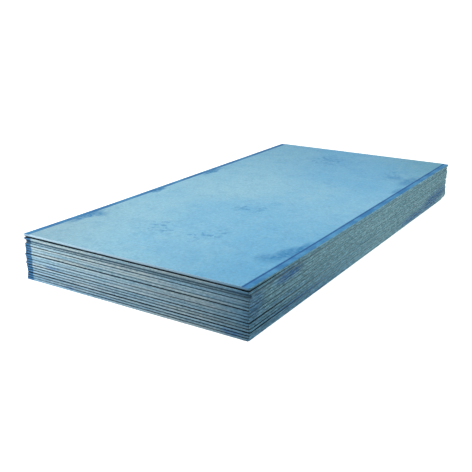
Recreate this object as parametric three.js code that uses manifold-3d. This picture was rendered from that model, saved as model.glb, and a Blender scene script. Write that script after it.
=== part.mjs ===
// A neat stack of full-size fibre cement sheets, lying flat, face up.
// Millimetres, +Z up. X runs across the sheets and Y along them: the front end is at -Y.

import * as THREE from 'three';
import { ConvexGeometry } from 'three/addons/geometries/ConvexGeometry.js';
import { mergeVertices } from 'three/addons/utils/BufferGeometryUtils.js';
import Module from 'manifold-3d';

// One sheet
const SHEET_WIDTH = 1200;
const SHEET_LENGTH = 2400;
const SHEET_THICKNESS = 12;

// The recess along both long edges of the face, which takes the jointing compound
const RECESS_WIDTH = 35;
const RECESS_SLOPE = 9;
const RECESS_DEPTH = 1.5;

// The pile: sheets lie on each other through dust and slight waviness, and some stand ajar
const SHEET_COUNT = 17;
const CLOSE_GAP = 0.8;
const WIDE_GAP = 0.95;
const SHEETS_AJAR = [2, 3, 4, 6, 7, 11];

// How neatly the pile is stacked: a slow lean in and out, and a little play
const PILE_LEAN = 2;
const SHEETS_PER_LEAN = 13.5;
const LEAN_START = 1.5;
const PILE_PLAY = 1.6;
const PLAY_TURN_ACROSS = 2.4;
const PLAY_TURN_ALONG = 1.7;

// The bottom sheet and the one under the top sheet lie out of line to the left
const BOTTOM_SHIFT = 5;
const SECOND_SHIFT = 3;

// The third sheet from the top is set back from the front end, more so on the right
const SET_BACK = 6.5;
const SET_BACK_TURN = THREE.MathUtils.degToRad(0.2);

// The top sheet is bowed up at its front end and lies very slightly askew
const TOP_SHIFT = 2;
const TOP_TURN = THREE.MathUtils.degToRad(-0.15);
const TOP_LIFT = 5;
const TOP_LIFT_REACH = 750;
const TOP_SHEET_STEPS = 24;

// The rear corner on the right is broken away at the foot of the pile
const BROKEN_LENGTH = 85;
const BROKEN_WIDTH = 60;
const BROKEN_HEIGHT = 22;

// How far the wedge that takes the corner off is grown past the faces that it leaves by
const WEDGE_GROWTH = 2;

// The finish: a pale blue face, and greyer cut edges on the sheets below
const FACE_COLOUR = 0x7db4cf;
const EDGE_COLOUR = 0x8fa9b3;
const SHEET_ROUGHNESS = 0.8;

const wasm = await Module();
wasm.setup();

/** The end view of a sheet: a flat back, and a face that steps down along both long edges. */
function sheetSection() {
    const half = SHEET_WIDTH / 2;
    const crease = half - RECESS_WIDTH;
    const seat = crease + RECESS_SLOPE;
    const recessed = SHEET_THICKNESS - RECESS_DEPTH;
    const section = new THREE.Shape();
    section.moveTo(-half, 0);
    section.lineTo(half, 0);
    section.lineTo(half, recessed);
    section.lineTo(seat, recessed);
    section.lineTo(crease, SHEET_THICKNESS);
    section.lineTo(-crease, SHEET_THICKNESS);
    section.lineTo(-seat, recessed);
    section.lineTo(-half, recessed);
    section.closePath();
    return section;
}

/** A straight sheet, centred across and along, with its back at z = 0. */
function sheetGeometry(steps) {
    const geometry = new THREE.ExtrudeGeometry(sheetSection(), {
        depth: SHEET_LENGTH,
        steps,
        bevelEnabled: false,
    });
    geometry.rotateX(Math.PI / 2);
    geometry.translate(0, SHEET_LENGTH / 2, 0);
    return geometry;
}

/** How high the top sheet stands off the pile at a place along it. */
function topLift(y) {
    const fromFrontEnd = y + SHEET_LENGTH / 2;
    const left = Math.max(0, 1 - fromFrontEnd / TOP_LIFT_REACH);
    return TOP_LIFT * left * left;
}

/** The top sheet: a straight sheet whose points follow the bow. */
function bowedSheetGeometry() {
    const geometry = sheetGeometry(TOP_SHEET_STEPS);
    const points = geometry.getAttribute('position');
    for (let i = 0; i < points.count; i += 1) {
        points.setZ(i, points.getZ(i) + topLift(points.getY(i)));
    }
    geometry.computeVertexNormals();
    return geometry;
}

/** How far a sheet sits to the right of the middle of the pile. */
function shiftAcross(number) {
    switch (number) {
        case 1:
            return -BOTTOM_SHIFT;
        case SHEET_COUNT - 1:
            return -SECOND_SHIFT;
        case SHEET_COUNT:
            return TOP_SHIFT;
        default: {
            const lean = Math.cos((2 * Math.PI * (number - LEAN_START)) / SHEETS_PER_LEAN);
            return PILE_LEAN * lean + PILE_PLAY * Math.sin(number * PLAY_TURN_ACROSS);
        }
    }
}

/** How far a sheet sits towards the rear end. */
function shiftAlong(number) {
    const setBack = number === SHEET_COUNT - 2 ? SET_BACK : 0;
    return setBack + PILE_PLAY * Math.sin(number * PLAY_TURN_ALONG);
}

/** How high the back of a sheet lies: the sheets below it, and the gap over each of them. */
function heightOf(number) {
    const wideGaps = SHEETS_AJAR.filter((sheet) => sheet <= number).length;
    const closeGaps = number - 1 - wideGaps;
    return (number - 1) * SHEET_THICKNESS + wideGaps * WIDE_GAP + closeGaps * CLOSE_GAP;
}

/** How far a sheet is turned, anticlockwise from above. */
function turnOf(number) {
    switch (number) {
        case SHEET_COUNT - 2:
            return SET_BACK_TURN;
        case SHEET_COUNT:
            return TOP_TURN;
        default:
            return 0;
    }
}

/** A closed geometry as a solid that can be cut. */
function toSolid(geometry) {
    const bare = geometry.clone();
    bare.deleteAttribute('normal');
    bare.deleteAttribute('uv');
    const merged = mergeVertices(bare);
    return new wasm.Manifold(new wasm.Mesh({
        numProp: 3,
        vertProperties: new Float32Array(merged.getAttribute('position').array),
        triVerts: new Uint32Array(merged.index.array),
    }));
}

/** A cut solid as a geometry again. */
function toGeometry(solid) {
    const mesh = solid.getMesh();
    const geometry = new THREE.BufferGeometry();
    geometry.setAttribute('position', new THREE.BufferAttribute(mesh.vertProperties, 3));
    geometry.setIndex(new THREE.BufferAttribute(mesh.triVerts, 1));
    geometry.computeVertexNormals();
    return geometry;
}

/**
 * The corner of the pile that is broken away: all that lies beyond a slanting plane through one
 * point on each edge that meets at the corner. It is grown about the middle of that plane, so
 * that the plane stays where it is and the wedge runs on past the faces of the sheets.
 */
function brokenCornerGeometry() {
    const side = SHEET_WIDTH / 2;
    const end = SHEET_LENGTH / 2;
    const plane = [
        new THREE.Vector3(side, end - BROKEN_LENGTH, 0),
        new THREE.Vector3(side - BROKEN_WIDTH, end, 0),
        new THREE.Vector3(side, end, BROKEN_HEIGHT),
    ];
    const middle = new THREE.Vector3();
    plane.forEach((point) => middle.addScaledVector(point, 1 / plane.length));
    const corners = [...plane, new THREE.Vector3(side, end, 0)];
    corners.forEach((corner) => corner.sub(middle).multiplyScalar(WEDGE_GROWTH).add(middle));
    return new ConvexGeometry(corners);
}

/** A sheet at the foot of the pile, with its part of the broken corner taken away. */
function brokenSheetGeometry(place) {
    const wedge = toSolid(brokenCornerGeometry()).translate(-place.x, -place.y, -place.z);
    return toGeometry(toSolid(sheetGeometry(1)).subtract(wedge));
}

/** The shape of a sheet, by its place in the pile. */
function shapeOf(number, place) {
    if (number === SHEET_COUNT) {
        return bowedSheetGeometry();
    }
    if (place.z < BROKEN_HEIGHT) {
        return brokenSheetGeometry(place);
    }
    return sheetGeometry(1);
}

/** One sheet of the pile as a mesh of its own, in its place. */
function makeSheet(number) {
    const place = new THREE.Vector3(shiftAcross(number), shiftAlong(number), heightOf(number));
    const material = new THREE.MeshStandardMaterial({
        color: number === SHEET_COUNT ? FACE_COLOUR : EDGE_COLOUR,
        roughness: SHEET_ROUGHNESS,
        metalness: 0,
    });
    const sheet = new THREE.Mesh(shapeOf(number, place), material);
    sheet.name = `sheet_${String(number).padStart(2, '0')}`;
    sheet.position.copy(place);
    sheet.rotation.z = turnOf(number);
    return sheet;
}

const pile = new THREE.Group();
for (let number = 1; number <= SHEET_COUNT; number += 1) {
    pile.add(makeSheet(number));
}

// The origin is the middle of the pile's footprint, on the floor
const bounds = new THREE.Box3().setFromObject(pile);
const centre = bounds.getCenter(new THREE.Vector3());
pile.position.set(-centre.x, -centre.y, -bounds.min.z);

export default pile;
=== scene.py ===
"""A neat stack of fibre cement lining sheets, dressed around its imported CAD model."""

import logging
import math
from dataclasses import dataclass, field, replace
from enum import Enum
from typing import Callable, Sequence, Union

import bmesh
import bpy
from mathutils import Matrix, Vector


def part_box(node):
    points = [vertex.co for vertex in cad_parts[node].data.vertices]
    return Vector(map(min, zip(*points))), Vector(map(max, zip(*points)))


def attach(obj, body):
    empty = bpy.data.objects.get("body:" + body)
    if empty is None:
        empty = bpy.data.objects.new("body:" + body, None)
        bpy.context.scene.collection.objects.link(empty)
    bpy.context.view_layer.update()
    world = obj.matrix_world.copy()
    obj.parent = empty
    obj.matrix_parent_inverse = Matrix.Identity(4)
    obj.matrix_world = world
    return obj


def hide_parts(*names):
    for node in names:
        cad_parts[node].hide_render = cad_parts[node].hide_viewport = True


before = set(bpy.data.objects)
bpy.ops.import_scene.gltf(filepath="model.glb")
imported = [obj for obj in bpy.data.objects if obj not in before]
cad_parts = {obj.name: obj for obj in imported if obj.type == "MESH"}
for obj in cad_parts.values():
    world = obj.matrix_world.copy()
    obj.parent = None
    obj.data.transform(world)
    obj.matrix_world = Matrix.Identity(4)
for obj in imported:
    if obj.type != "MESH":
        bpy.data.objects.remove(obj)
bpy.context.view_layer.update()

BODY = "root"
POINT_ATTRIBUTE = "sheet_point"
MARKS_ATTRIBUTE = "sheet_marks"
COVERED_FROM = 0.01

Colour = tuple[float, float, float]
Place = tuple[float, float, float]
Socket = bpy.types.NodeSocket
Sockets = tuple[Socket, ...]
Inputs = bpy.types.bpy_prop_collection
Value = Union[Socket, float, int, Sequence[float]]

WHITE: Colour = (1.0, 1.0, 1.0)

log = logging.getLogger("stack")


class Facing(Enum):
    """The four kinds of surface that a sheet has."""

    FACE = "face"
    BACK = "back"
    END = "cut end"
    SIDE = "long edge"


class Nodes:
    """Lays nodes into a tree and joins them. It serves shader and geometry trees alike."""

    def __init__(self, tree: bpy.types.NodeTree) -> None:
        """Starts on a tree.

        Args:
            tree: The tree that the nodes go into.
        """
        self.tree = tree

    def add(self, kind: str, **settings: object) -> bpy.types.Node:
        """Adds a node.

        Args:
            kind: The node's type name.
            **settings: Properties to set on it.

        Returns:
            The new node.
        """
        node = self.tree.nodes.new(kind)
        for name, setting in settings.items():
            setattr(node, name, setting)
        return node

    def feed(self, socket: Socket, value: Value) -> None:
        """Joins a socket to another one, or sets its value.

        Args:
            socket: The input that is fed.
            value: An output socket, a number or a row of numbers.
        """
        if isinstance(value, Socket):
            self.tree.links.new(value, socket)
        else:
            socket.default_value = value

    def math(self, operation: str, *values: Value) -> Socket:
        """Works out one number from one, two or three others."""
        node = self.add("ShaderNodeMath", operation=operation)
        for socket, value in zip(node.inputs, values):
            self.feed(socket, value)
        return node.outputs[0]

    def times(self, first: Value, second: Value) -> Socket:
        """Multiplies two numbers."""
        return self.math("MULTIPLY", first, second)

    def plus(self, first: Value, second: Value) -> Socket:
        """Adds two numbers."""
        return self.math("ADD", first, second)

    def minus(self, first: Value, second: Value) -> Socket:
        """Takes the second number from the first."""
        return self.math("SUBTRACT", first, second)

    def vector(self, operation: str, *values: Value) -> Socket:
        """Works out one vector from one or two others."""
        node = self.add("ShaderNodeVectorMath", operation=operation)
        for socket, value in zip(node.inputs, values):
            self.feed(socket, value)
        return node.outputs["Vector"]

    def scaled(self, value: Value, factor: Value) -> Socket:
        """Scales a vector by one number."""
        node = self.add("ShaderNodeVectorMath", operation="SCALE")
        self.feed(node.inputs[0], value)
        self.feed(node.inputs["Scale"], factor)
        return node.outputs["Vector"]

    def length(self, value: Value) -> Socket:
        """Measures a vector."""
        node = self.add("ShaderNodeVectorMath", operation="LENGTH")
        self.feed(node.inputs[0], value)
        return node.outputs["Value"]

    def split(self, value: Value) -> Sockets:
        """Splits a vector into its three numbers."""
        node = self.add("ShaderNodeSeparateXYZ")
        self.feed(node.inputs[0], value)
        return tuple(node.outputs)

    def join(self, x: Value, y: Value, z: Value) -> Socket:
        """Makes a vector from three numbers."""
        node = self.add("ShaderNodeCombineXYZ")
        for socket, value in zip(node.inputs, (x, y, z)):
            self.feed(socket, value)
        return node.outputs[0]

    def ramp(self, value: Value, start: Value, end: Value, low: Value = 0.0, high: Value = 1.0,
             smooth: bool = False) -> Socket:
        """Maps a range of a number onto another range, and holds it beyond both ends.

        Args:
            value: The number.
            start: Where the range starts.
            end: Where it ends.
            low: What the start becomes.
            high: What the end becomes.
            smooth: Whether the change eases in and out.

        Returns:
            The mapped number.
        """
        node = self.add("ShaderNodeMapRange", clamp=True)
        if smooth:
            node.interpolation_type = "SMOOTHSTEP"
        names = ("Value", "From Min", "From Max", "To Min", "To Max")
        for name, part in zip(names, (value, start, end, low, high)):
            self.feed(node.inputs[name], part)
        return node.outputs["Result"]

    def noise(self, point: Value, scale: float, detail: float = 3.0, roughness: float = 0.5,
              seed: Value = 0.0) -> Socket:
        """Gives a soft random number, around a half, that changes over space.

        Args:
            point: Where it is read.
            scale: How fast it changes.
            detail: How many finer layers it has.
            roughness: How strong the finer layers are.
            seed: Which pattern it is.

        Returns:
            The number.
        """
        node = self.add("ShaderNodeTexNoise", noise_dimensions="4D")
        self.feed(node.inputs["Vector"], point)
        self.feed(node.inputs["W"], seed)
        node.inputs["Scale"].default_value = scale
        node.inputs["Detail"].default_value = detail
        node.inputs["Roughness"].default_value = roughness
        return node.outputs[0]

    def blend(self, factor: Value, first: Value, second: Value, how: str = "MIX") -> Socket:
        """Blends two colours.

        Args:
            factor: How much of the second is taken.
            first: The first colour.
            second: The second colour.
            how: The way of blending.

        Returns:
            The colour.
        """
        node = self.add("ShaderNodeMix", data_type="RGBA", blend_type=how)
        self.feed(node.inputs["Factor"], factor)
        for name, value in (("A", first), ("B", second)):
            colour = value if isinstance(value, Socket) else opaque(value)
            self.feed(self.colour_input(node, name), colour)
        return [output for output in node.outputs if output.type == "RGBA"][0]

    def tinted(self, factor: Value, tint: Value, colour: Value) -> Socket:
        """Multiplies a colour by another one, as far as the factor says."""
        return self.blend(factor, tint, colour, "MULTIPLY")

    def dimmed(self, tint: Value, light: Socket) -> Socket:
        """Multiplies a colour by one number."""
        return self.tinted(1.0, tint, self.join(light, light, light))

    @staticmethod
    def colour_input(node: bpy.types.Node, name: str) -> Socket:
        """Finds a mix node's colour input, which shares its name with others."""
        return [socket for socket in node.inputs if socket.name == name and socket.type == "RGBA"][0]


def opaque(colour: Colour) -> tuple[float, float, float, float]:
    """Adds full alpha to a colour."""
    return (*colour, 1.0)


@dataclass(frozen=True)
class Pattern:
    """A soft random pattern, and how the range of it that counts is mapped."""

    scale: float
    detail: float = 3.0
    roughness: float = 0.5
    seed: float = 0.0
    start: float = 0.0
    end: float = 1.0
    low: float = 0.0
    high: float = 1.0
    smooth: bool = False

    def raw(self, nodes: Nodes, point: Value, seed: Value | None = None) -> Socket:
        """Gives the bare pattern.

        Args:
            nodes: The tree that it goes into.
            point: Where it is read.
            seed: Which pattern it is, where that isn't fixed.

        Returns:
            A soft random number around a half.
        """
        chosen = self.seed if seed is None else seed
        return nodes.noise(point, self.scale, self.detail, self.roughness, chosen)

    def mask(self, nodes: Nodes, point: Value, seed: Value | None = None) -> Socket:
        """Gives the mapped pattern, with the same arguments as the bare one."""
        bare = self.raw(nodes, point, seed)
        return nodes.ramp(bare, self.start, self.end, self.low, self.high, self.smooth)


@dataclass(frozen=True)
class Smudge:
    """A soft, ragged patch on one face of the stack. All sizes are in metres on that face."""

    across: float
    along: float
    half_across: float
    half_along: float
    turn: float = 0.0
    strength: float = 1.0

    CORE = 0.25

    def mask(self, nodes: Nodes, point: Socket) -> Socket:
        """Builds the patch's mask.

        Args:
            nodes: The tree that it goes into.
            point: The ragged place on the face, with nothing in its third number.

        Returns:
            How strong the patch is there, from 0 to its strength.
        """
        offset = nodes.vector("SUBTRACT", point, (self.across, self.along, 0.0))
        if self.turn:
            turned = nodes.add("ShaderNodeVectorRotate", rotation_type="Z_AXIS")
            nodes.feed(turned.inputs["Vector"], offset)
            turned.inputs["Angle"].default_value = -math.radians(self.turn)
            offset = turned.outputs[0]
        share = nodes.vector("DIVIDE", offset, (self.half_across, self.half_along, 1.0))
        return nodes.ramp(nodes.length(share), self.CORE, 1.0, self.strength, 0.0, smooth=True)


@dataclass(frozen=True)
class Patches:
    """Several ragged patches together, with how far and how finely their outlines stray."""

    smudges: tuple[Smudge, ...]
    raggedness: float
    scale: float

    STRAYS = (Pattern(1.0, 5.0, 0.65, 3.1), Pattern(1.0, 5.0, 0.65, 8.4))
    MIDDLE = 0.5

    def mask(self, nodes: Nodes, point: Socket) -> Socket:
        """Builds the mask of all the patches.

        Args:
            nodes: The tree that it goes into.
            point: The place on the face, with nothing in its third number.

        Returns:
            How strong the patches are there, from 0 to 1.
        """
        across, along = (replace(stray, scale=self.scale).raw(nodes, point) for stray in self.STRAYS)
        stray = nodes.join(across, along, self.MIDDLE)
        stray = nodes.vector("SUBTRACT", stray, (self.MIDDLE, self.MIDDLE, self.MIDDLE))
        ragged = nodes.vector("ADD", point, nodes.scaled(stray, 2.0 * self.raggedness))
        total: Value = 0.0
        for smudge in self.smudges:
            total = nodes.math("MAXIMUM", total, smudge.mask(nodes, ragged))
        return total


@dataclass(frozen=True)
class Finish:
    """What every finish of a sheet has in common."""

    name: str
    shine: float = 0.25
    sheen_spots: Pattern = Pattern(14.0, 4.0, 0.6, 5.5, 0.35, 0.65, 0.62, 0.85)
    grain: Pattern = Pattern(260.0, 4.0, 0.6)
    grain_height: float = 0.0003
    grain_strength: float = 0.6

    def colour(self, nodes: Nodes) -> Socket:
        """Builds the colour. Each finish has its own."""
        raise NotImplementedError

    def point(self, nodes: Nodes) -> Socket:
        """Reads the place within the sheet that the geometry tree has stored, in metres."""
        return nodes.add("ShaderNodeAttribute", attribute_name=POINT_ATTRIBUTE).outputs["Vector"]

    def marks(self, nodes: Nodes) -> Sockets:
        """Reads how much grime and painted shade the sheet's edge takes at its foot and at its top, and how
        much painted shade its face takes where it is covered.
        """
        stored = nodes.add("ShaderNodeAttribute", attribute_name=MARKS_ATTRIBUTE)
        return nodes.split(stored.outputs["Vector"])

    def place(self, nodes: Nodes) -> Socket:
        """Reads the place within the whole stack, in metres."""
        return nodes.add("ShaderNodeTexCoord").outputs["Object"]

    def build(self) -> bpy.types.Material:
        """Makes the material.

        Returns:
            The material, with its colour, roughness and bump from nodes.
        """
        material = bpy.data.materials.new(self.name)
        material.use_nodes = True
        tree = material.node_tree
        tree.nodes.clear()
        nodes = Nodes(tree)
        shader = nodes.add("ShaderNodeBsdfPrincipled")
        output = nodes.add("ShaderNodeOutputMaterial")
        tree.links.new(shader.outputs[0], output.inputs["Surface"])
        nodes.feed(shader.inputs["Base Color"], self.colour(nodes))
        shader.inputs["Specular IOR Level"].default_value = self.shine
        place = self.place(nodes)
        nodes.feed(shader.inputs["Roughness"], self.sheen_spots.mask(nodes, place))
        bump = nodes.add("ShaderNodeBump")
        bump.inputs["Strength"].default_value = self.grain_strength
        bump.inputs["Distance"].default_value = self.grain_height
        nodes.feed(bump.inputs["Height"], self.grain.raw(nodes, place))
        tree.links.new(bump.outputs[0], shader.inputs["Normal"])
        return material


@dataclass(frozen=True)
class Slope:
    """A tint that grows along a slanting line over the face: where it starts, and where it is full."""

    colour: Colour
    x_share: float
    y_share: float
    start: float
    end: float

    def laid(self, nodes: Nodes, tint: Socket, x: Socket, y: Socket) -> Socket:
        """Lays the tint over a colour.

        Args:
            nodes: The material's tree.
            tint: The colour.
            x: The place across.
            y: The place along.

        Returns:
            The tinted colour.
        """
        along = nodes.math("MULTIPLY_ADD", y, self.y_share, nodes.times(x, self.x_share))
        return nodes.tinted(nodes.ramp(along, self.start, self.end, smooth=True), tint, self.colour)


@dataclass(frozen=True)
class FaceFinish(Finish):
    """The smooth blue-tinted face: cloudy, stained, and a fuller blue in its recessed edges."""

    pale: Colour = (0.300, 0.585, 0.735)
    sky: Colour = (0.195, 0.500, 0.735)
    dusk: Colour = (0.085, 0.300, 0.540)
    wisp: Colour = (0.400, 0.640, 0.740)
    stain: Colour = (0.020, 0.200, 0.455)
    band: Colour = (0.035, 0.205, 0.450)
    bright_band: Colour = (0.080, 0.320, 0.580)
    crease: Colour = (0.012, 0.085, 0.280)
    # Painted shade, with some grime, for a face that the sheet above covers: near black under the darkest
    # joints, and a dim grey-blue under faint ones. The last colour is a painted light that lifts the recess
    # towards the rear.
    covered: Colour = (0.0005, 0.005, 0.010)
    faint_shade_and_grime: Colour = (0.12, 0.22, 0.29)
    gap_light: Colour = (0.34, 0.54, 0.60)
    clouds: Pattern = Pattern(2.0, 5.0, 0.55, 1.7)
    cloud_start: float = 0.25
    cloud_end: float = 0.75
    painted_light_to_the_left: float = -0.30
    mottle: Pattern = Pattern(16.0, 9.0, 0.75, 6.1, 0.48, 0.72, 0.0, 0.40)
    wisps: Pattern = Pattern(28.0, 7.0, 0.72, 5.2, 0.50, 0.74, 0.0, 0.38)
    fine_light: Pattern = Pattern(70.0, 4.0, 0.70, 2.3, 0.32, 0.68, 0.85, 1.12)
    flecks: Pattern = Pattern(32.0, 4.0, 0.65, 9.9, 0.50, 0.60, 0.0, 0.80)
    feather: Pattern = Pattern(45.0, 5.0, 0.7, 4.4, 0.36, 0.58, 0.35, 1.0)
    band_clouds: Pattern = Pattern(9.0, 4.0, 0.6, 7.7, 0.45, 0.62)
    half_width: float = 0.6
    recess_width: float = 0.035
    band_softness: float = 0.003
    crease_offset: float = 0.005
    crease_core: float = 0.002
    crease_reach: float = 0.006
    crease_strength: float = 0.85
    gap_light_start: float = -1.05
    gap_light_full: float = -0.45
    # The first slope is painted shade towards the far end, and the second is painted shade towards the near
    # right corner; the third and fourth shift the hue at the far right and near left corners.
    shade_and_hue_slopes: tuple[Slope, ...] = (
        Slope((0.72, 0.84, 0.92), 0.0, 1.0, 0.0, 1.2),
        Slope((0.76, 0.88, 0.94), 1.0, -0.6, 0.5, 1.25),
        Slope((1.12, 0.96, 0.80), 1.0, 0.6, 0.7, 1.3),
        Slope((1.00, 0.88, 0.84), 1.0, 0.6, -0.7, -1.3),
    )
    stains: Patches = Patches((
        Smudge(0.530, -0.800, 0.060, 0.170, -10.0, 0.90),
        Smudge(0.555, -0.720, 0.034, 0.160, 0.0, 1.0),
        Smudge(0.485, -0.880, 0.070, 0.070, 0.0, 0.60),
        Smudge(0.540, 0.650, 0.060, 0.170, 0.0, 0.70),
        Smudge(0.450, 0.680, 0.090, 0.060, 0.0, 0.50),
        Smudge(0.555, 0.420, 0.020, 0.100, 0.0, 0.60),
        Smudge(-0.548, -0.840, 0.034, 0.170, 0.0, 1.0),
        Smudge(-0.520, -0.780, 0.055, 0.060, 0.0, 0.80),
        Smudge(-0.555, -0.265, 0.024, 0.090, 0.0, 1.0),
        Smudge(-0.548, 0.250, 0.030, 0.150, 0.0, 1.0),
    ), raggedness=0.032, scale=18.0)
    fleck_fields: Patches = Patches((
        Smudge(-0.140, -0.770, 0.170, 0.140),
        Smudge(0.130, -0.730, 0.090, 0.110),
        Smudge(0.050, -0.310, 0.140, 0.100),
        Smudge(-0.060, 0.900, 0.260, 0.160),
        Smudge(0.430, 0.770, 0.170, 0.110),
    ), raggedness=0.20, scale=6.0)

    def colour(self, nodes: Nodes) -> Socket:
        """Builds the clouds, the flecks, the stains and the recessed bands.

        Args:
            nodes: The material's tree.

        Returns:
            The colour.
        """
        x, y, _ = nodes.split(self.point(nodes))
        flat = nodes.join(x, y, 0.0)
        # The clouds lean paler to the left: painted light, brightest on the left of the face.
        cloudy = nodes.math("MULTIPLY_ADD", x, self.painted_light_to_the_left, self.clouds.raw(nodes, flat))
        pale = nodes.ramp(cloudy, self.cloud_start, self.cloud_end, smooth=True)
        tint = nodes.blend(pale, self.sky, self.pale)
        tint = nodes.blend(self.mottle.mask(nodes, flat), tint, self.dusk)
        tint = nodes.blend(self.wisps.mask(nodes, flat), tint, self.wisp)
        tint = nodes.dimmed(tint, self.fine_light.mask(nodes, flat))
        # Painted shade towards the far end and the near right corner, and hue shifts at two corners.
        for slope in self.shade_and_hue_slopes:
            tint = slope.laid(nodes, tint, x, y)
        flecks = nodes.times(self.fleck_fields.mask(nodes, flat), self.flecks.mask(nodes, flat))
        tint = nodes.blend(flecks, tint, self.dusk)
        stains = nodes.times(self.stains.mask(nodes, flat), self.feather.mask(nodes, flat))
        tint = nodes.blend(stains, tint, self.stain)
        return self.banded(nodes, tint, flat)

    def banded(self, nodes: Nodes, tint: Socket, flat: Socket) -> Socket:
        """Lays the recessed bands over the face. It also lays painted shade, with some grime, over a face
        that the sheet above covers, and a painted light that lifts its recess towards the rear.

        Args:
            nodes: The material's tree.
            tint: The face's colour.
            flat: The place on the face.

        Returns:
            The colour with the bands.
        """
        x, y, _ = nodes.split(flat)
        out = nodes.math("ABSOLUTE", x)
        start = self.half_width - self.recess_width
        band = nodes.ramp(out, start - self.band_softness, start + self.band_softness)
        _, _, covered = self.marks(nodes)
        hidden = nodes.math("GREATER_THAN", covered, COVERED_FROM)
        # A hidden face takes painted shade with some grime; towards the rear, a painted light lifts its
        # recess.
        gap_shade = nodes.blend(covered, self.faint_shade_and_grime, self.covered)
        filled = nodes.times(band, nodes.ramp(y, self.gap_light_start, self.gap_light_full))
        gap_shade = nodes.blend(filled, gap_shade, self.gap_light)
        blue = nodes.blend(self.band_clouds.mask(nodes, flat), self.band, self.bright_band)
        from_crease = nodes.math("ABSOLUTE", nodes.minus(out, start + self.crease_offset))
        line = nodes.ramp(from_crease, self.crease_core, self.crease_reach, 1.0, 0.0, smooth=True)
        blue = nodes.blend(nodes.times(line, self.crease_strength), blue, self.crease)
        return nodes.blend(hidden, nodes.blend(band, tint, blue), gap_shade)


@dataclass(frozen=True)
class Spot:
    """Where the colour of a cut edge is worked out: along the edge, out of it and up, in metres."""

    run: Socket
    over: Socket
    up: Socket
    flat: Socket
    stretched: Socket
    is_top: Socket
    shade: Socket


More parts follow.
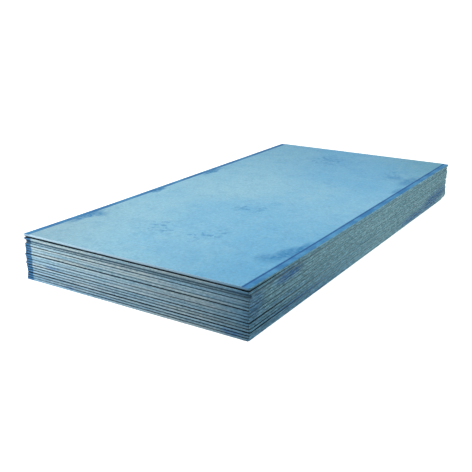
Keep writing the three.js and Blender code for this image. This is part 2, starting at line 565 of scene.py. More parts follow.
@dataclass(frozen=True)
class EdgeFinish(Finish):
    """A cut edge of the pile: grey-blue cement with fine layers, painted shade towards the near corner, and
    grime and painted shade in the joints.
    """

    shine: float = 0.1
    light: Colour = (0.48, 0.64, 0.70)
    dark: Colour = (0.21, 0.35, 0.42)
    far_shade: Colour = (0.24, 0.40, 0.52)
    low_shade: Colour = (0.68, 0.80, 0.94)
    # The joints' colour: grime, and painted shade in the gaps between the sheets.
    joint: Colour = (0.001, 0.013, 0.026)
    stain: Colour = (0.030, 0.130, 0.340)
    # The pale colour of the painted highlight along the top sheet's upper arris.
    arris: Colour = (0.60, 0.64, 0.80)
    contrast: float = 0.13
    waves: Pattern = Pattern(5.0, 2.0, 0.5, 7.3)
    wave_height: float = 0.010
    layers: Pattern = Pattern(1.2, 5.0, 0.6, 1.1)
    layer_run: float = 2.2
    layer_stretch: float = 230.0
    speckle: Pattern = Pattern(60.0, 4.0, 0.65)
    speckle_stretch: float = 3.0
    low_full: float = 0.02
    low_end: float = 0.13
    low_run_start: float = -0.6
    low_run_end: float = 0.2
    feather: Pattern = Pattern(90.0, 4.0, 0.7, 4.4, 0.35, 0.60, 0.30, 1.0)
    feather_run: float = 0.35
    joint_gaps: Pattern = Pattern(36.0, 4.0, 0.65, 6.6, 0.30, 0.55, 0.72, 1.0)
    dots: Pattern = Pattern(90.0, 3.0, 0.6, 2.2, 0.40, 0.60)
    thickness: float = 0.012
    grime_and_shade_height: float = 0.0038
    foot_core: float = 0.35
    grime_and_shade_share: float = 1.0
    top_shadow_reach: float = 0.0012
    highlight_start: float = 0.0012
    highlight_full: float = 0.0003
    middle_reach: float = 0.01
    front_side: float = 1.0
    stains: Patches = Patches((), raggedness=0.012, scale=40.0)

    def axes(self, nodes: Nodes) -> Sockets:
        """Gives the place along the edge, out of it and up. Each kind of edge has its own."""
        raise NotImplementedError

    def shade(self, nodes: Nodes, run: Socket) -> Socket:
        """Gives how much painted shade the edge takes: most at the near corner of the pile."""
        raise NotImplementedError

    def drifted(self, nodes: Nodes, tint: Socket, spot: Spot) -> Socket:
        """Lays what lies under the stains. There is nothing unless a kind of edge adds it."""
        return tint

    def worked(self, nodes: Nodes, tint: Socket, spot: Spot) -> Socket:
        """Lays what lies over the stains. There is nothing unless a kind of edge adds it."""
        return tint

    def spread(self, nodes: Nodes, grime_and_shade: Socket, ends: Socket, spot: Spot) -> Socket:
        """Spreads the grime and painted shade of the joints along the edge.

        Args:
            nodes: The material's tree.
            grime_and_shade: How much grime and painted shade the foot and the top of the edge take.
            ends: Where the foot and the top are, however much grime and shade they take.
            spot: The place.

        Returns:
            How much of the colour of the joints is taken.
        """
        return nodes.times(grime_and_shade, self.joint_gaps.mask(nodes, spot.stretched))

    def layered(self, nodes: Nodes, run: Socket, over: Socket, up: Socket) -> Socket:
        """Builds the fine wavy layers and the speckle of the cement.

        Args:
            nodes: The material's tree.
            run: The place along the edge.
            over: The place out of it.
            up: The height.

        Returns:
            The colour.
        """
        waves = self.waves.raw(nodes, nodes.join(run, over, 0.0))
        waved = nodes.math("MULTIPLY_ADD", waves, self.wave_height, up)
        stack = nodes.join(nodes.times(run, self.layer_run), over, nodes.times(waved, self.layer_stretch))
        specks = nodes.join(run, over, nodes.times(up, self.speckle_stretch))
        share = nodes.plus(self.speckle.raw(nodes, specks), self.layers.raw(nodes, stack))
        return nodes.blend(nodes.ramp(share, 1.0 - self.contrast, 1.0 + self.contrast), self.dark, self.light)

    def stained(self, nodes: Nodes, tint: Socket, spot: Spot) -> Socket:
        """Lays the stains, on the side of the pile that the photograph shows alone."""
        shown = nodes.ramp(nodes.times(spot.over, self.front_side), -self.middle_reach, self.middle_reach)
        feathered = nodes.times(self.stains.mask(nodes, spot.flat), self.feather.mask(nodes, spot.stretched))
        return nodes.blend(nodes.times(feathered, shown), tint, self.stain)

    def colour(self, nodes: Nodes) -> Socket:
        """Builds the layers, the painted shade, the stains, the joints darkened by grime and painted shade,
        and the painted highlight on the top sheet's arris.

        Args:
            nodes: The material's tree.

        Returns:
            The colour.
        """
        run, over, up = self.axes(nodes)
        _, _, height = nodes.split(self.point(nodes))
        below, above, covered = self.marks(nodes)
        spot = Spot(
            run=run, over=over, up=up,
            flat=nodes.join(run, up, 0.0),
            stretched=nodes.join(nodes.times(run, self.feather_run), up, 0.0),
            is_top=nodes.math("LESS_THAN", covered, COVERED_FROM),
            shade=self.shade(nodes, run),
        )
        # Painted shade, growing towards the near corner of the pile.
        tint = nodes.tinted(spot.shade, self.layered(nodes, run, over, up), self.far_shade)
        low = nodes.times(nodes.ramp(up, self.low_full, self.low_end, 1.0, 0.0),
                          nodes.ramp(run, self.low_run_start, self.low_run_end, 1.0, 0.0))
        tint = nodes.tinted(low, tint, self.low_shade)
        tint = self.stained(nodes, self.drifted(nodes, tint, spot), spot)
        tint = self.worked(nodes, tint, spot)
        # The top and the foot of the edge darken at the joints, partly with grime and partly as painted shade
        # in the gaps. The top sheet's foot darkens higher, as the painted shadow of the gap under its lifted
        # front.
        top = nodes.ramp(height, self.thickness - self.grime_and_shade_height, self.thickness, smooth=True)
        reach = nodes.math("MULTIPLY_ADD", spot.is_top, self.top_shadow_reach, self.grime_and_shade_height)
        foot = nodes.ramp(nodes.math("DIVIDE", height, reach), 1.0, self.foot_core, smooth=True)
        grime_and_shade = nodes.math("MAXIMUM", nodes.times(top, above), nodes.times(foot, below))
        grime_and_shade = nodes.times(grime_and_shade, self.grime_and_shade_share)
        tint = nodes.blend(self.spread(nodes, grime_and_shade, nodes.math("MAXIMUM", top, foot), spot), tint, self.joint)
        # A painted highlight, in pale dots, along the upper arris of the top sheet.
        arris_highlight = nodes.ramp(height, self.thickness - self.highlight_start, self.thickness - self.highlight_full)
        shown = nodes.times(nodes.times(arris_highlight, spot.is_top), self.dots.mask(nodes, spot.flat))
        return nodes.blend(shown, tint, self.arris)


@dataclass(frozen=True)
class EndFinish(EdgeFinish):
    """The cut ends: a blue-soaked corner on the left, a band of painted shade over the set-back sheet, and a
    paler top sheet.
    """

    top_pale_colour: Colour = (0.42, 0.62, 0.75)
    top_pale_share: float = 0.75
    corner: Colour = (0.022, 0.130, 0.300)
    corner_width: float = 0.042
    corner_softness: float = 0.004
    corner_joint_shade: float = 0.65
    half_width: float = 0.6
    soak: Pattern = Pattern(90.0, 4.0, 0.7, 3.3, 0.40, 0.60, 0.80, 1.0)
    cool: Colour = (0.86, 0.98, 1.06)
    warm: Colour = (1.12, 1.01, 0.95)
    drift: Pattern = Pattern(2.0, 3.0, 0.6, 12.4, 0.38, 0.62)
    drift_run: float = 1.5
    drift_stretch: float = 30.0
    band_height: float = 0.186
    band_offset: float = 0.003
    band_core: float = 0.0044
    band_reach: float = 0.0066
    band_shade: Colour = (0.18, 0.25, 0.30)
    near_reach: float = 0.060
    near_full: float = 0.010
    near_joint_shade: float = 0.85
    slow_start: float = -0.55
    slow_shade: float = 0.62
    quick_start: float = 0.40
    quick_shade: float = 0.34
    front_side: float = -1.0
    stains: Patches = Patches((
        Smudge(-0.430, 0.085, 0.070, 0.010, 0.0, 0.7),
        Smudge(-0.330, 0.014, 0.050, 0.008, 0.0, 0.9),
        Smudge(-0.110, 0.012, 0.040, 0.007, 0.0, 0.8),
        Smudge(0.520, 0.020, 0.070, 0.020, 0.0, 0.7),
    ), raggedness=0.012, scale=40.0)

    def axes(self, nodes: Nodes) -> Sockets:
        """Gives the place along the end, which runs across the pile, out of it and up."""
        x, y, z = nodes.split(self.place(nodes))
        return x, y, z

    def shade(self, nodes: Nodes, run: Socket) -> Socket:
        """Gives how much painted shade the end takes: slowly more to the right, and quickly more near the
        corner.
        """
        slow = nodes.ramp(run, self.slow_start, self.half_width, 0.0, self.slow_shade)
        return nodes.plus(slow, nodes.ramp(run, self.quick_start, self.half_width, 0.0, self.quick_shade))

    def drifted(self, nodes: Nodes, tint: Socket, spot: Spot) -> Socket:
        """Lets the colour drift between cooler and warmer greys."""
        streaks = nodes.join(nodes.times(spot.run, self.drift_run), spot.over,
                             nodes.times(spot.up, self.drift_stretch))
        cooler = nodes.tinted(1.0, tint, self.cool)
        warmer = nodes.tinted(1.0, tint, self.warm)
        return nodes.blend(self.drift.mask(nodes, streaks), cooler, warmer)

    def worked(self, nodes: Nodes, tint: Socket, spot: Spot) -> Socket:
        """Lays the soaked corner, the paler top sheet, and the painted shade over the set-back sheet, third
        from the top.
        """
        start = self.corner_width - self.half_width
        in_corner = nodes.ramp(spot.run, start + self.corner_softness, start - self.corner_softness)
        tint = nodes.blend(nodes.times(self.soak.mask(nodes, spot.flat), in_corner), tint, self.corner)
        # A paler colour over the top sheet's end.
        top_pale = nodes.tinted(spot.shade, self.top_pale_colour, self.far_shade)
        tint = nodes.blend(nodes.times(spot.is_top, self.top_pale_share), tint, top_pale)
        # Painted shade over the set-back sheet, third from the top, which lies in the shade of the sheet
        # above.
        from_band = nodes.math("ABSOLUTE", nodes.minus(spot.up, self.band_height + self.band_offset))
        band = nodes.ramp(from_band, self.band_core, self.band_reach, 1.0, 0.0, smooth=True)
        return nodes.tinted(band, tint, self.band_shade)

    def spread(self, nodes: Nodes, grime_and_shade: Socket, ends: Socket, spot: Spot) -> Socket:
        """Spreads the grime and painted shade of the joints, with more painted shade at both corners of the
        pile, where the recess opens the gaps.
        """
        right = self.half_width
        left = self.corner_width - self.half_width
        # Painted shade in the joints near both corners, where the recess opens the gaps between the sheets.
        near = nodes.ramp(spot.run, right - self.near_reach, right - self.near_full, 0.0, self.near_joint_shade)
        soak = nodes.ramp(spot.run, left, left - self.corner_softness, 0.0, self.corner_joint_shade)
        more = nodes.times(nodes.math("MAXIMUM", near, soak), ends)
        return super().spread(nodes, nodes.math("MAXIMUM", grime_and_shade, more), ends, spot)


@dataclass(frozen=True)
class SideFinish(EdgeFinish):
    """The long edges: duller and greener, with short dashes and joints that fade to the rear."""

    light: Colour = (0.27, 0.49, 0.55)
    dark: Colour = (0.12, 0.29, 0.36)
    far_shade: Colour = (0.62, 0.74, 0.84)
    grime_and_shade_share: float = 0.60
    contrast: float = 0.15
    joint_gaps: Pattern = Pattern(36.0, 4.0, 0.65, 6.6, 0.40, 0.56, 0.05, 1.0)
    fade_start: float = -1.05
    fade_end: float = -0.35
    fade_left: float = 0.16
    dashes: Pattern = Pattern(130.0, 4.0, 0.65, 15.2, 0.42, 0.58, 0.66, 1.28)
    dash_run: float = 0.30
    shade_start: float = 0.1
    shade_full: float = -1.2
    shade_share: float = 0.55
    stains: Patches = Patches((
        Smudge(-0.900, 0.176, 0.170, 0.034, 0.0, 1.0),
        Smudge(-0.930, 0.0900, 0.300, 0.0035, 0.0, 1.0),
        Smudge(-0.790, 0.040, 0.380, 0.012, 0.0, 0.8),
        # This patch, high on the side at its near corner, is partly a blue stain and partly painted shade.
        Smudge(-1.160, 0.140, 0.100, 0.100, 0.0, 0.60),
        Smudge(0.600, 0.030, 0.320, 0.028, 0.0, 1.0),
        Smudge(0.950, 0.052, 0.360, 0.052, 5.0, 1.0),
        Smudge(-0.590, 0.006, 0.080, 0.010, 0.0, 0.8),
    ), raggedness=0.012, scale=40.0)

    def axes(self, nodes: Nodes) -> Sockets:
        """Gives the place along the side, which runs along the pile, out of it and up."""
        x, y, z = nodes.split(self.place(nodes))
        return y, x, z

    def shade(self, nodes: Nodes, run: Socket) -> Socket:
        """Gives how much painted shade the side takes: most at its front end."""
        return nodes.ramp(run, self.shade_start, self.shade_full, 0.0, self.shade_share)

    def worked(self, nodes: Nodes, tint: Socket, spot: Spot) -> Socket:
        """Breaks the colour up into short lighter and darker dashes."""
        dashed = nodes.join(nodes.times(spot.run, self.dash_run), spot.over, spot.up)
        return nodes.dimmed(tint, self.dashes.mask(nodes, dashed))

    def spread(self, nodes: Nodes, grime_and_shade: Socket, ends: Socket, spot: Spot) -> Socket:
        """Spreads the grime and painted shade of the joints in pieces that fade towards the rear end."""
        fade = nodes.ramp(spot.run, self.fade_start, self.fade_end, 1.0, self.fade_left)
        return nodes.times(super().spread(nodes, grime_and_shade, ends, spot), fade)


@dataclass(frozen=True)
class PlainFinish(Finish):
    """The plain grey-blue cement of the back and of a broken surface."""

    light: Colour = (0.40, 0.52, 0.58)
    dark: Colour = (0.26, 0.38, 0.45)
    clouds: Pattern = Pattern(18.0, 6.0, 0.6, 1.3, 0.35, 0.65)

    def colour(self, nodes: Nodes) -> Socket:
        """Builds a cloudy mix of two greys."""
        return nodes.blend(self.clouds.mask(nodes, self.place(nodes)), self.dark, self.light)


@dataclass(frozen=True)
class FloorFinish:
    """A plain white floor that is nearly as bright as the studio around it."""

    name: str = "studio_floor"
    colour: Colour = (0.85, 0.85, 0.85)
    roughness: float = 0.9
    glow: float = 0.80

    def build(self) -> bpy.types.Material:
        """Makes the material.

        Returns:
            The material.
        """
        material = bpy.data.materials.new(self.name)
        material.use_nodes = True
        shader = material.node_tree.nodes["Principled BSDF"]
        shader.inputs["Base Color"].default_value = opaque(self.colour)
        shader.inputs["Roughness"].default_value = self.roughness
        shader.inputs["Specular IOR Level"].default_value = 0.0
        shader.inputs["Emission Color"].default_value = opaque(WHITE)
        shader.inputs["Emission Strength"].default_value = self.glow
        return material


@dataclass
class SheetShape:
    """The rule that every sheet follows, as one geometry tree with named inputs.

    A tube of quads with closed ends is laid out as the sheet: each station round the tube
    becomes a place on the sheet's outline, and each row along it a line that runs round the
    sheet, from the back over the edge and onto the face.
    """

    width: float = 1.2
    length: float = 2.4
    thickness: float = 0.012
    recess_width: float = 0.035
    recess_slope: float = 0.009
    recess_depth: float = 0.0015
    recess_steps: int = 4
    slope_steps: int = 2
    middle_steps: int = 180
    steps_along: int = 280
    rings: int = 1
    arris: float = 0.0005
    chip: float = 0.0028
    edge_roughness: float = 0.0004
    blunting: float = 0.004
    lift: float = 0.0
    lift_reach: float = 0.75
    tree: bpy.types.NodeTree = field(init=False, repr=False)
    sockets: dict[str, str] = field(init=False, repr=False, default_factory=dict)

    LENGTHS = ("Width", "Length", "Thickness", "Recess Width", "Recess Slope", "Recess Depth", "Arris",
               "Chip", "Edge Roughness", "Blunting", "Lift", "Lift Reach")
    COUNTS = ("Recess Steps", "Slope Steps", "Middle Steps", "Steps Along", "Rings")
    ROWS = 14
    INNER_MARGIN = 0.010
    CHIP_SHELF = 0.0045
    MERGE_DISTANCE = 0.00002
    ROW_STEP = 0.01
    ARRIS_SHARE = 0.3
    LOWER_ARRIS_SALT = 40.0
    FIRST_EDGE_ROW = 0.35
    SECOND_EDGE_ROW = 0.65
    LEVEL = 0.8
    ROUGH = Pattern(120.0, 3.0, 0.6)
    CHIPS = Pattern(22.0, 4.0, 0.6, 0.0, 0.56, 0.80, smooth=True)
    FINE_WEAR = Pattern(90.0, 2.0, 0.5, 0.0, 0.3, 0.7, 0.4, 1.6)

    def __post_init__(self) -> None:
        """Starts the tree and its inputs."""
        self.tree = bpy.data.node_groups.new("fibre_cement_sheet", "GeometryNodeTree")
        self.tree.is_modifier = True

    def input(self, label: str, kind: str, value: object) -> None:
        """Declares one input of the tree.

        Args:
            label: Its name.
            kind: What it holds.
            value: What it holds unless a sheet sets it.
        """
        socket = self.tree.interface.new_socket(name=label, in_out="INPUT", socket_type=f"NodeSocket{kind}")
        socket.default_value = value
        self.sockets[label] = socket.identifier

    def build(self, finishes: dict[Facing, bpy.types.Material]) -> None:
        """Builds the tree.

        Args:
            finishes: The material for each kind of surface.
        """
        self.tree.interface.new_socket(name="Geometry", in_out="OUTPUT", socket_type="NodeSocketGeometry")
        for label in self.LENGTHS:
            self.input(label, "Float", getattr(self, label.lower().replace(" ", "_")))
        for label in self.COUNTS:
            self.input(label, "Int", getattr(self, label.lower().replace(" ", "_")))
        for label in ("Turn", "Seed"):
            self.input(label, "Float", 0.0)
        for label in ("Place", "Marks"):
            self.input(label, "Vector", (0.0, 0.0, 0.0))
        nodes = Nodes(self.tree)
        given = nodes.add("NodeGroupInput").outputs
        recessed = nodes.plus(given["Recess Steps"], given["Slope Steps"])
        across = nodes.math("MULTIPLY_ADD", recessed, 2.0, given["Middle Steps"])
        around = nodes.times(nodes.plus(across, given["Steps Along"]), 2.0)
        tube = self.tube(nodes, around, given["Rings"])
        station, row, reach = self.layout(nodes, around)
        rim_x, rim_y = self.outline(nodes, given, across, station)
        offset, heights = self.profile(nodes, given, rim_x, rim_y, row)
        flat_x, flat_y = self.inside(nodes, given, rim_x, rim_y, offset, reach)
        height = heights(flat_x)
        point = nodes.join(flat_x, flat_y, height)
        lifted = self.lifted(nodes, given, flat_x, flat_y, height)
        turned = nodes.add("ShaderNodeVectorRotate", rotation_type="Z_AXIS")
        nodes.feed(turned.inputs["Vector"], lifted)
        nodes.feed(turned.inputs["Angle"], given["Turn"])
        stored = self.store(nodes, tube, POINT_ATTRIBUTE, point)
        stored = self.store(nodes, stored, MARKS_ATTRIBUTE, given["Marks"])
        laid = nodes.add("GeometryNodeSetPosition")
        nodes.feed(laid.inputs["Geometry"], stored)
        nodes.feed(laid.inputs["Position"], nodes.vector("ADD", turned.outputs[0], given["Place"]))
        merged = nodes.add("GeometryNodeMergeByDistance")
        nodes.feed(merged.inputs["Geometry"], laid.outputs[0])
        merged.inputs["Distance"].default_value = self.MERGE_DISTANCE
        realised = nodes.add("GeometryNodeRealizeInstances")
        nodes.feed(realised.inputs["Geometry"], merged.outputs[0])
        dressed = self.dressed(nodes, realised.outputs[0], finishes)
        nodes.feed(nodes.add("NodeGroupOutput").inputs["Geometry"], dressed)

    def tube(self, nodes: Nodes, around: Socket, rings: Socket) -> Socket:
        """Makes the closed tube that the sheet is laid out from."""
        tube = nodes.add("GeometryNodeMeshCylinder", fill_type="TRIANGLE_FAN")
        nodes.feed(tube.inputs["Vertices"], around)
        nodes.feed(tube.inputs["Side Segments"], self.ROWS)
        nodes.feed(tube.inputs["Fill Segments"], rings)
        nodes.feed(tube.inputs["Radius"], 1.0)
        nodes.feed(tube.inputs["Depth"], float(self.ROWS))
        return tube.outputs["Mesh"]

    def layout(self, nodes: Nodes, around: Socket) -> Sockets:
        """Reads where a point lies on the tube.

        Args:
            nodes: The tree.
            around: How many stations the tube has.

        Returns:
            Its station round the tube, its row along it, and how far out it lies on a closed end.
        """
        position = nodes.add("GeometryNodeInputPosition").outputs[0]
        x, y, z = nodes.split(position)
        turn = nodes.math("FRACT", nodes.math("DIVIDE", nodes.math("ARCTAN2", y, x), 2.0 * math.pi))
        station = nodes.math("ROUND", nodes.times(turn, around))
        row = nodes.math("ROUND", nodes.plus(z, 0.5 * self.ROWS))
        reach = nodes.length(nodes.join(x, y, 0.0))
        return station, row, reach

    def walk(self, nodes: Nodes, station: Value, first: Value, there: Value, back: Value) -> Socket:
        """Counts the steps along one pair of opposite sides: out on one, and back on the other.

        Args:
            nodes: The tree.
            station: The station on the outline.
            first: The station where the way out starts.
            there: How many steps the way out takes.
            back: The station where the way back starts.

        Returns:
            The number of steps from where the way out starts.
        """
        out = nodes.math("MINIMUM", nodes.math("MAXIMUM", nodes.minus(station, first), 0.0), there)
        home = nodes.math("MINIMUM", nodes.math("MAXIMUM", nodes.minus(station, back), 0.0), there)
        return nodes.minus(out, home)

    def outline(self, nodes: Nodes, given: Inputs, across: Socket, station: Socket) -> Sockets:
        """Lays the stations along the sheet's outline, with stations on each crease of the recess.

        Args:
            nodes: The tree.
            given: The tree's inputs.
            across: How many steps there are across the sheet.
            station: The station on the outline.

        Returns:
            The place across and the place along.
        """
        along = given["Steps Along"]
        step_x = self.walk(nodes, station, 0.0, across, nodes.plus(across, along))
        step_y = self.walk(nodes, station, across, along, nodes.math("MULTIPLY_ADD", across, 2.0, along))
        flat = nodes.minus(given["Recess Width"], given["Recess Slope"])
        middle = nodes.math("MULTIPLY_ADD", given["Recess Width"], -2.0, given["Width"])
        runs = (
            (given["Recess Steps"], flat), (given["Slope Steps"], given["Recess Slope"]),
            (given["Middle Steps"], middle),
            (given["Slope Steps"], given["Recess Slope"]), (given["Recess Steps"], flat),
        )
        x = nodes.times(given["Width"], -0.5)
        start: Value = 0.0
        for steps, distance in runs:
            end = nodes.plus(start, steps)
            x = nodes.plus(x, nodes.ramp(step_x, start, end, 0.0, distance))
            start = end
        y = nodes.times(given["Length"], nodes.minus(nodes.math("DIVIDE", step_y, along), 0.5))
        return x, y

    def profile(self, nodes: Nodes, given: Inputs, rim_x: Socket,
                rim_y: Socket, row: Socket) -> tuple[Socket, Callable[[Socket], Socket]]:
        """Gives each row its distance in from the outline and its height, with wear on both arrises.

        Args:
            nodes: The tree.
            given: The tree's inputs.
            rim_x: The place across, on the outline.
            rim_y: The place along, on the outline.
            row: The row.

        Returns:
            The distance in, and a function that gives the height for a place across.
        """
        rim = nodes.join(rim_x, rim_y, 0.0)
        upper = self.wear(nodes, given, rim, 0.0)
        lower = self.wear(nodes, given, rim, self.LOWER_ARRIS_SALT)
        spot = nodes.join(rim_x, rim_y, nodes.times(row, self.ROW_STEP))
        rough = nodes.times(self.ROUGH.raw(nodes, spot, given["Seed"]), given["Edge Roughness"])
        slope_foot = nodes.minus(given["Recess Width"], given["Recess Slope"])
        slope_middle = nodes.math("MULTIPLY_ADD", given["Recess Slope"], -0.5, given["Recess Width"])
        inner = nodes.plus(given["Recess Width"], self.INNER_MARGIN)
        over_lower = nodes.math("MULTIPLY_ADD", lower, self.ARRIS_SHARE, rough)
        over_upper = nodes.math("MULTIPLY_ADD", upper, self.ARRIS_SHARE, rough)
        offsets = (
            inner, nodes.plus(lower, rough), over_lower, rough, rough, rough, rough, over_upper,
            nodes.plus(upper, rough), self.CHIP_SHELF, nodes.times(slope_foot, 0.5),
            slope_foot, slope_middle, given["Recess Width"], inner,
        )
        offset = self.chosen(nodes, row, offsets)

        def heights(x: Socket) -> Socket:
            """Gives the height of this row where the sheet's face is stepped down by the recess."""
            edge = nodes.times(given["Width"], 0.5)
            crease = nodes.minus(edge, given["Recess Width"])
            seat = nodes.plus(crease, given["Recess Slope"])
            depth = nodes.ramp(nodes.math("ABSOLUTE", x), crease, seat, 0.0, given["Recess Depth"])
            full = nodes.minus(given["Thickness"], depth)
            levels = (
                0.0, 0.0, nodes.times(lower, self.ARRIS_SHARE), lower,
                nodes.times(full, self.FIRST_EDGE_ROW), nodes.times(full, self.SECOND_EDGE_ROW),
                nodes.minus(full, upper), nodes.math("MULTIPLY_ADD", upper, -self.ARRIS_SHARE, full),
                full, full, full, full, full, full, full,
            )
            return self.chosen(nodes, row, levels)

        return offset, heights

    def wear(self, nodes: Nodes, given: Inputs, rim: Socket, salt: float) -> Socket:
        """Gives how far an arris is rounded and chipped back: a fine rounding, with chips here and there."""
        seed = nodes.plus(given["Seed"], salt)
        chips = self.CHIPS.mask(nodes, rim, seed)
        fine = nodes.times(self.FINE_WEAR.mask(nodes, rim, seed), given["Arris"])
        return nodes.math("MULTIPLY_ADD", chips, given["Chip"], fine)

    def chosen(self, nodes: Nodes, index: Socket, values: Sequence[Value]) -> Socket:
        """Picks one of several numbers by a row's number."""
        switch = nodes.add("GeometryNodeIndexSwitch", data_type="FLOAT")
        while len(switch.index_switch_items) < len(values):
            switch.index_switch_items.new()
        nodes.feed(switch.inputs["Index"], index)
        for socket, value in zip(list(switch.inputs)[1:], values):
            nodes.feed(socket, value)
        return switch.outputs[0]

    def inside(self, nodes: Nodes, given: Inputs, rim_x: Socket,
               rim_y: Socket, offset: Socket,
               reach: Socket) -> Sockets:
        """Moves a point of the outline inwards, and blunts the sheet's corners.

        Args:
            nodes: The tree.
            given: The tree's inputs.
            rim_x: The place across, on the outline.
            rim_y: The place along, on the outline.
            offset: How far in it goes.
            reach: How far out it lies from the middle, on the face and the back.

        Returns:
            The place across and the place along.
        """
        half_x = nodes.minus(nodes.times(given["Width"], 0.5), offset)
        half_y = nodes.minus(nodes.times(given["Length"], 0.5), offset)
        x = nodes.math("MAXIMUM", nodes.math("MINIMUM", rim_x, half_x), nodes.times(half_x, -1.0))
        y = nodes.math("MAXIMUM", nodes.math("MINIMUM", rim_y, half_y), nodes.times(half_y, -1.0))
        both = nodes.times(nodes.plus(given["Width"], given["Length"]), 0.5)
        limit = nodes.minus(both, given["Blunting"])
        out = nodes.plus(nodes.math("ABSOLUTE", x), nodes.math("ABSOLUTE", y))
        excess = nodes.times(nodes.math("MAXIMUM", nodes.minus(out, limit), 0.0), 0.5)
        x = nodes.minus(x, nodes.times(nodes.math("SIGN", x), excess))
        y = nodes.minus(y, nodes.times(nodes.math("SIGN", y), excess))
        return nodes.times(x, reach), nodes.times(y, reach)

    def lifted(self, nodes: Nodes, given: Inputs, x: Socket, y: Socket, height: Socket) -> Socket:
        """Bows the front end of a sheet up off the pile."""
        from_end = nodes.math("MULTIPLY_ADD", given["Length"], 0.5, y)
        left = nodes.minus(1.0, nodes.math("DIVIDE", from_end, given["Lift Reach"]))
        held = nodes.math("MAXIMUM", left, 0.0)
        rise = nodes.times(nodes.times(held, held), given["Lift"])
        return nodes.join(x, y, nodes.plus(height, rise))

    def store(self, nodes: Nodes, geometry: Socket, name: str, value: Socket) -> Socket:
        """Stores a vector on the points of the mesh, for the materials to read."""
        store = nodes.add("GeometryNodeStoreNamedAttribute", data_type="FLOAT_VECTOR", domain="POINT")
        nodes.feed(store.inputs["Geometry"], geometry)
        store.inputs["Name"].default_value = name
        nodes.feed(store.inputs["Value"], value)
        return store.outputs["Geometry"]

    def dressed(self, nodes: Nodes, geometry: Socket, finishes: dict[Facing, bpy.types.Material]) -> Socket:
        """Gives each surface its material by the way it faces.

        Args:
            nodes: The tree.
            geometry: The finished mesh.
            finishes: The material for each kind of surface.

        Returns:
            The mesh with its materials.
        """
        normal_x, normal_y, normal_z = nodes.split(nodes.add("GeometryNodeInputNormal").outputs[0])
        out_y = nodes.math("ABSOLUTE", normal_y)
        endways = nodes.math("GREATER_THAN", out_y, nodes.math("ABSOLUTE", normal_x))
        choices = (
            (Facing.SIDE, None),
            (Facing.END, endways),
            (Facing.FACE, nodes.math("GREATER_THAN", normal_z, self.LEVEL)),
            (Facing.BACK, nodes.math("LESS_THAN", normal_z, -self.LEVEL)),
        )
        for facing, selection in choices:
            painted = nodes.add("GeometryNodeSetMaterial")
            nodes.feed(painted.inputs["Geometry"], geometry)
            painted.inputs["Material"].default_value = finishes[facing]
            if selection is not None:
                nodes.feed(painted.inputs["Selection"], selection)
            geometry = painted.outputs[0]
        return geometry


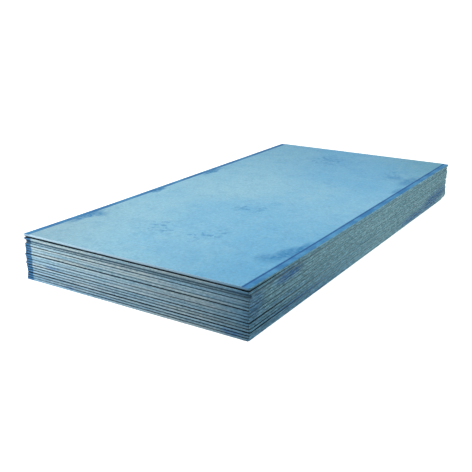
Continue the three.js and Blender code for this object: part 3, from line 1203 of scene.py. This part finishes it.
@dataclass
class Stack:
    """The pile of sheets, each laid where its CAD node lies."""

    shape: SheetShape
    count: int = 17
    set_back_sheet: int = 15
    set_back_turn: float = math.radians(0.2)
    top_turn: float = math.radians(-0.15)
    top_lift: float = 0.005
    top_rings: int = 48
    bottom_shift: float = 0.005
    broken_sheets: tuple[int, ...] = (1, 2)
    broken_width: float = 0.060
    broken_length: float = 0.085
    broken_height: float = 0.022
    cut_tolerance: float = 0.000001
    seed_step: float = 3.7
    # How dark the joint under each sheet is painted: partly grime and partly painted shade in the gap. Under
    # the top sheet, it is the painted shadow of its lifted front.
    joint_grime_and_shade: dict[int, float] = field(default_factory=lambda: {
        1: 0.0, 2: 1.0, 3: 1.0, 4: 1.0, 5: 0.8, 6: 1.0, 7: 1.0, 8: 0.3, 9: 0.85, 10: 0.3,
        11: 1.0, 12: 0.35, 13: 0.4, 14: 1.0, 15: 0.1, 16: 0.1, 17: 1.0,
    })

    def build(self) -> list[bpy.types.Object]:
        """Lays every sheet.

        Returns:
            The dressed sheets, from the bottom up.
        """
        return [self.sheet(number) for number in range(1, self.count + 1)]

    def turn(self, number: int) -> float:
        """Gives how far a sheet is turned, anticlockwise from above."""
        turns = {self.set_back_sheet: self.set_back_turn, self.count: self.top_turn}
        return turns.get(number, 0.0)

    def sheet(self, number: int) -> bpy.types.Object:
        """Lays one sheet.

        Args:
            number: Its place in the pile, from the bottom.

        Returns:
            The dressed sheet, as a plain mesh.
        """
        node = f"sheet_{number:02d}"
        low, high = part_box(node)
        name = f"{node}_dressed"
        piece = bpy.data.objects.new(name, bpy.data.meshes.new(name))
        bpy.context.scene.collection.objects.link(piece)
        modifier = piece.modifiers.new("sheet", "NODES")
        modifier.node_group = self.shape.tree
        is_top = number == self.count
        # The joint over a sheet sets the painted shade, with grime, on its hidden face and at the top of its
        # edges. The second sheet keeps the top of its edges clear.
        over = 0.0 if is_top else self.joint_grime_and_shade[number + 1]
        above = 0.0 if number == self.count - 1 else over
        settings = {
            "Place": (0.5 * (low.x + high.x), 0.5 * (low.y + high.y), low.z),
            "Turn": self.turn(number),
            "Seed": self.seed_step * number,
            "Lift": self.top_lift if is_top else 0.0,
            "Rings": self.top_rings if is_top else 1,
            "Marks": (self.joint_grime_and_shade[number], above, over),
        }
        for label, value in settings.items():
            modifier[self.shape.sockets[label]] = value
        self.freeze(piece)
        if number in self.broken_sheets:
            self.break_corner(piece.data)
        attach(piece, BODY)
        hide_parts(node)
        log.info("%s: %d faces", name, len(piece.data.polygons))
        return piece

    def break_corner(self, mesh: bpy.types.Mesh) -> None:
        """Breaks the rear corner on the right off one of the lowest sheets, along a slanting plane.

        Args:
            mesh: The sheet's mesh, in the stack's own frame.
        """
        _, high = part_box("sheet_01")
        corner = Vector((high.x + self.bottom_shift, high.y, 0.0))
        middle = corner + Vector((-self.broken_width, -self.broken_length, self.broken_height)) / 3.0
        outwards = Vector((1.0 / self.broken_width, 1.0 / self.broken_length, -1.0 / self.broken_height))
        shape = bmesh.new()
        shape.from_mesh(mesh)
        cut = bmesh.ops.bisect_plane(shape, geom=[*shape.verts, *shape.edges, *shape.faces],
                                     dist=self.cut_tolerance, plane_co=middle,
                                     plane_no=outwards.normalized(), clear_outer=True)
        rim = [part for part in cut["geom_cut"] if isinstance(part, bmesh.types.BMEdge)]
        filled = bmesh.ops.triangle_fill(shape, use_beauty=True, edges=rim)
        broken = [part for part in filled["geom"] if isinstance(part, bmesh.types.BMFace)]
        for face in broken:
            face.material_index = mesh.materials.find("sheet_back")
        bmesh.ops.recalc_face_normals(shape, faces=shape.faces)
        shape.to_mesh(mesh)
        shape.free()
        log.info("%s: corner broken off, %d new faces", mesh.name, len(broken))

    def freeze(self, piece: bpy.types.Object) -> None:
        """Turns a piece's evaluated shape into a plain mesh."""
        bpy.context.view_layer.update()
        depsgraph = bpy.context.evaluated_depsgraph_get()
        mesh = bpy.data.meshes.new_from_object(piece.evaluated_get(depsgraph),
                                               preserve_all_data_layers=True, depsgraph=depsgraph)
        piece.modifiers.clear()
        piece.data = mesh
        mesh.name = piece.name


@dataclass(frozen=True)
class Lamp:
    """A square soft light. Its place, its target and its side are in metres."""

    name: str
    place: Place
    target: Place
    side: float
    watts: float

    def hang(self) -> None:
        """Hangs the light in the studio."""
        lamp = bpy.data.lights.new(self.name, "AREA")
        lamp.size = self.side
        lamp.energy = self.watts
        light = bpy.data.objects.new(self.name, lamp)
        light.location = self.place
        aim = Vector(self.target) - Vector(self.place)
        light.rotation_euler = aim.to_track_quat("-Z", "Y").to_euler()
        bpy.context.scene.collection.objects.link(light)


@dataclass
class Studio:
    """The white floor, the soft lights and the camera."""

    floor_half: float = 150.0
    sky: float = 0.62
    ground: float = 0.22
    ground_below: float = -0.15
    sky_above: float = 0.35
    azimuth: float = 32.388
    elevation: float = 18.745
    camera_place: Place = (1.916, -3.372, 1.288)
    lens: float = 56.50
    sensor: float = 36.0
    clip_share: float = 4.0
    lamps: tuple[Lamp, ...] = (
        Lamp("key", (-1.5, -3.0, 0.60), (-0.6, -1.2, 0.1), 1.2, 50.0),
        Lamp("top", (-0.2, -0.2, 3.2), (-0.1, -0.1, 0.2), 2.6, 30.0),
        Lamp("rear", (3.4, 0.4, 0.9), (0.6, -0.3, 0.1), 1.6, 28.0),
    )

    def build(self) -> None:
        """Makes everything around the stack."""
        self.lay_floor()
        self.light_all_round()
        for lamp in self.lamps:
            lamp.hang()
        self.stand_camera()

    def lay_floor(self) -> None:
        """Lays the floor."""
        half = self.floor_half
        mesh = bpy.data.meshes.new("floor")
        corners = [(-half, -half, 0.0), (half, -half, 0.0), (half, half, 0.0), (-half, half, 0.0)]
        mesh.from_pydata(corners, [], [(0, 1, 2, 3)])
        mesh.materials.append(FloorFinish().build())
        floor = bpy.data.objects.new("floor", mesh)
        floor.visible_diffuse = False
        bpy.context.scene.collection.objects.link(floor)

    def light_all_round(self) -> None:
        """Lights the studio softly from all round, more from above than from below."""
        world = bpy.data.worlds.new("studio")
        bpy.context.scene.world = world
        world.use_nodes = True
        nodes = Nodes(world.node_tree)
        background = world.node_tree.nodes["Background"]
        background.inputs["Color"].default_value = opaque(WHITE)
        direction = nodes.add("ShaderNodeTexCoord").outputs["Generated"]
        _, _, upward = nodes.split(direction)
        light = nodes.ramp(upward, self.ground_below, self.sky_above, self.ground, self.sky)
        seen = nodes.add("ShaderNodeLightPath").outputs["Is Camera Ray"]
        nodes.feed(background.inputs["Strength"], nodes.math("MAXIMUM", light, seen))

    def stand_camera(self) -> None:
        """Stands the camera where the photograph was taken from."""
        lens = bpy.data.cameras.new("camera")
        lens.lens = self.lens
        lens.sensor_width = self.sensor
        lens.clip_end = self.clip_share * self.floor_half
        camera = bpy.data.objects.new("camera", lens)
        camera.location = self.camera_place
        camera.rotation_euler = (math.radians(90.0 - self.elevation), 0.0, math.radians(self.azimuth))
        bpy.context.scene.collection.objects.link(camera)
        bpy.context.scene.camera = camera


def main() -> None:
    """Builds the stack and its studio, and reports each piece."""
    logging.basicConfig(level=logging.INFO, format="%(name)s: %(message)s")
    bpy.context.scene.view_settings.view_transform = "Standard"
    low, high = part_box("sheet_15")
    finishes = {
        Facing.FACE: FaceFinish("sheet_face").build(),
        Facing.END: EndFinish("cut_end", band_height=0.5 * (low.z + high.z)).build(),
        Facing.SIDE: SideFinish("long_edge").build(),
        Facing.BACK: PlainFinish("sheet_back").build(),
    }
    shape = SheetShape()
    shape.build(finishes)
    sheets = Stack(shape).build()
    Studio().build()
    log.info("%d sheets, %d faces in all", len(sheets), sum(len(sheet.data.polygons) for sheet in sheets))


if __name__ == "__main__":
    main()
